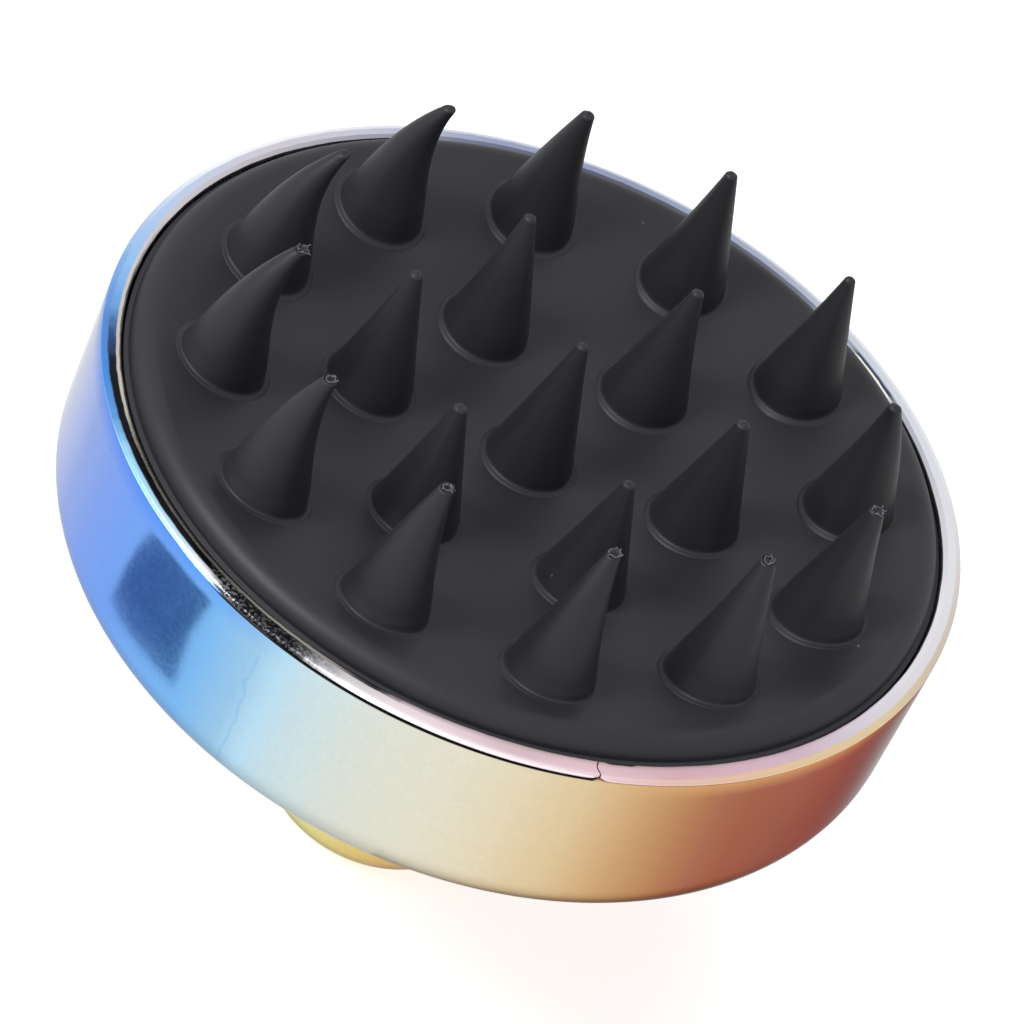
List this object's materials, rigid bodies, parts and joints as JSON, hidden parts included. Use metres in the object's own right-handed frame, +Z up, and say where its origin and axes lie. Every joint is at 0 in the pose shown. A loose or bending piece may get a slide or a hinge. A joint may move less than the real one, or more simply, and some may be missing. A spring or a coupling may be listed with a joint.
{
  "type": "scalp massager brush",
  "caption": "Round hand-held scalp massager with an iridescent plated back, a finger knob and a dished pad of soft flexing bristles.",
  "frame": {"origin": "centre of the flat crown of the knob, on the surface that the brush stands on", "axes": "+Z up the axis of the brush from the knob to the bristle tips, +X towards the rust-red side of the plating, which fades from blue on the -X side"},
  "size_m": [0.0796, 0.0796, 0.0623],
  "materials": {
    "plated_shell": "iridescent metal plating on plastic, blue through cream to rust red",
    "plated_ring": "iridescent metal plating, lavender to silver",
    "plated_knob": "iridescent metal plating, yellow to orange",
    "silicone": "matt charcoal silicone",
    "carrier": "plain moulded plastic",
    "screws": "zinc-plated steel"
  },
  "bodies": {
    "brush": {"back_shell": "plated_shell", "trim_ring": "plated_ring", "bristle_pad": "silicone", "carrier_plate": "carrier", "carrier_screws": "screws", "knob": "plated_knob", "knob_cap": "plated_knob", "knob_washer": "screws", "knob_screw": "screws"},
    "bristle_01_body": {"bristle_01": "silicone"},
    "bristle_02_body": {"bristle_02": "silicone"},
    "bristle_03_body": {"bristle_03": "silicone"},
    "bristle_04_body": {"bristle_04": "silicone"},
    "bristle_05_body": {"bristle_05": "silicone"},
    "bristle_06_body": {"bristle_06": "silicone"},
    "bristle_07_body": {"bristle_07": "silicone"},
    "bristle_08_body": {"bristle_08": "silicone"},
    "bristle_09_body": {"bristle_09": "silicone"},
    "bristle_10_body": {"bristle_10": "silicone"},
    "bristle_11_body": {"bristle_11": "silicone"},
    "bristle_12_body": {"bristle_12": "silicone"},
    "bristle_13_body": {"bristle_13": "silicone"},
    "bristle_14_body": {"bristle_14": "silicone"},
    "bristle_15_body": {"bristle_15": "silicone"},
    "bristle_16_body": {"bristle_16": "silicone"},
    "bristle_17_body": {"bristle_17": "silicone"},
    "bristle_18_body": {"bristle_18": "silicone"},
    "bristle_19_body": {"bristle_19": "silicone"}
  },
  "joints": [
    {"name": "bristle_01_flex", "type": "hinge", "parent": "brush", "child": "bristle_01_body", "pos_m": [0, 0, 0.04533], "axis": [0, 1, 0], "range_deg": [-15, 15], "stiffness_Nm_per_rad": 0.02},
    {"name": "bristle_02_flex", "type": "hinge", "parent": "brush", "child": "bristle_02_body", "pos_m": [0.0155, 0, 0.0462], "axis": [0, 1, 0], "range_deg": [-15, 15], "stiffness_Nm_per_rad": 0.02},
    {"name": "bristle_03_flex", "type": "hinge", "parent": "brush", "child": "bristle_03_body", "pos_m": [0.00775, 0.01342, 0.0462], "axis": [-0.866, 0.5, 0], "range_deg": [-15, 15], "stiffness_Nm_per_rad": 0.02},
    {"name": "bristle_04_flex", "type": "hinge", "parent": "brush", "child": "bristle_04_body", "pos_m": [-0.00775, 0.01342, 0.0462], "axis": [-0.866, -0.5, 0], "range_deg": [-15, 15], "stiffness_Nm_per_rad": 0.02},
    {"name": "bristle_05_flex", "type": "hinge", "parent": "brush", "child": "bristle_05_body", "pos_m": [-0.0155, 0, 0.0462], "axis": [0, -1, 0], "range_deg": [-15, 15], "stiffness_Nm_per_rad": 0.02},
    {"name": "bristle_06_flex", "type": "hinge", "parent": "brush", "child": "bristle_06_body", "pos_m": [-0.00775, -0.01342, 0.0462], "axis": [0.866, -0.5, 0], "range_deg": [-15, 15], "stiffness_Nm_per_rad": 0.02},
    {"name": "bristle_07_flex", "type": "hinge", "parent": "brush", "child": "bristle_07_body", "pos_m": [0.00775, -0.01342, 0.0462], "axis": [0.866, 0.5, 0], "range_deg": [-15, 15], "stiffness_Nm_per_rad": 0.02},
    {"name": "bristle_08_flex", "type": "hinge", "parent": "brush", "child": "bristle_08_body", "pos_m": [0.02801, 0.00751, 0.04841], "axis": [-0.2588, 0.9659, 0], "range_deg": [-15, 15], "stiffness_Nm_per_rad": 0.02},
    {"name": "bristle_09_flex", "type": "hinge", "parent": "brush", "child": "bristle_09_body", "pos_m": [0.02051, 0.02051, 0.04841], "axis": [-0.7071, 0.7071, 0], "range_deg": [-15, 15], "stiffness_Nm_per_rad": 0.02},
    {"name": "bristle_10_flex", "type": "hinge", "parent": "brush", "child": "bristle_10_body", "pos_m": [0.00751, 0.02801, 0.04841], "axis": [-0.9659, 0.2588, 0], "range_deg": [-15, 15], "stiffness_Nm_per_rad": 0.02},
    {"name": "bristle_11_flex", "type": "hinge", "parent": "brush", "child": "bristle_11_body", "pos_m": [-0.00751, 0.02801, 0.04841], "axis": [-0.9659, -0.2588, 0], "range_deg": [-15, 15], "stiffness_Nm_per_rad": 0.02},
    {"name": "bristle_12_flex", "type": "hinge", "parent": "brush", "child": "bristle_12_body", "pos_m": [-0.02051, 0.02051, 0.04841], "axis": [-0.7071, -0.7071, 0], "range_deg": [-15, 15], "stiffness_Nm_per_rad": 0.02},
    {"name": "bristle_13_flex", "type": "hinge", "parent": "brush", "child": "bristle_13_body", "pos_m": [-0.02801, 0.00751, 0.04841], "axis": [-0.2588, -0.9659, 0], "range_deg": [-15, 15], "stiffness_Nm_per_rad": 0.02},
    {"name": "bristle_14_flex", "type": "hinge", "parent": "brush", "child": "bristle_14_body", "pos_m": [-0.02801, -0.00751, 0.04841], "axis": [0.2588, -0.9659, 0], "range_deg": [-15, 15], "stiffness_Nm_per_rad": 0.02},
    {"name": "bristle_15_flex", "type": "hinge", "parent": "brush", "child": "bristle_15_body", "pos_m": [-0.02051, -0.02051, 0.04841], "axis": [0.7071, -0.7071, 0], "range_deg": [-15, 15], "stiffness_Nm_per_rad": 0.02},
    {"name": "bristle_16_flex", "type": "hinge", "parent": "brush", "child": "bristle_16_body", "pos_m": [-0.00751, -0.02801, 0.04841], "axis": [0.9659, -0.2588, 0], "range_deg": [-15, 15], "stiffness_Nm_per_rad": 0.02},
    {"name": "bristle_17_flex", "type": "hinge", "parent": "brush", "child": "bristle_17_body", "pos_m": [0.00751, -0.02801, 0.04841], "axis": [0.9659, 0.2588, 0], "range_deg": [-15, 15], "stiffness_Nm_per_rad": 0.02},
    {"name": "bristle_18_flex", "type": "hinge", "parent": "brush", "child": "bristle_18_body", "pos_m": [0.02051, -0.02051, 0.04841], "axis": [0.7071, 0.7071, 0], "range_deg": [-15, 15], "stiffness_Nm_per_rad": 0.02},
    {"name": "bristle_19_flex", "type": "hinge", "parent": "brush", "child": "bristle_19_body", "pos_m": [0.02801, -0.00751, 0.04841], "axis": [0.2588, 0.9659, 0], "range_deg": [-15, 15], "stiffness_Nm_per_rad": 0.02}
  ]
}
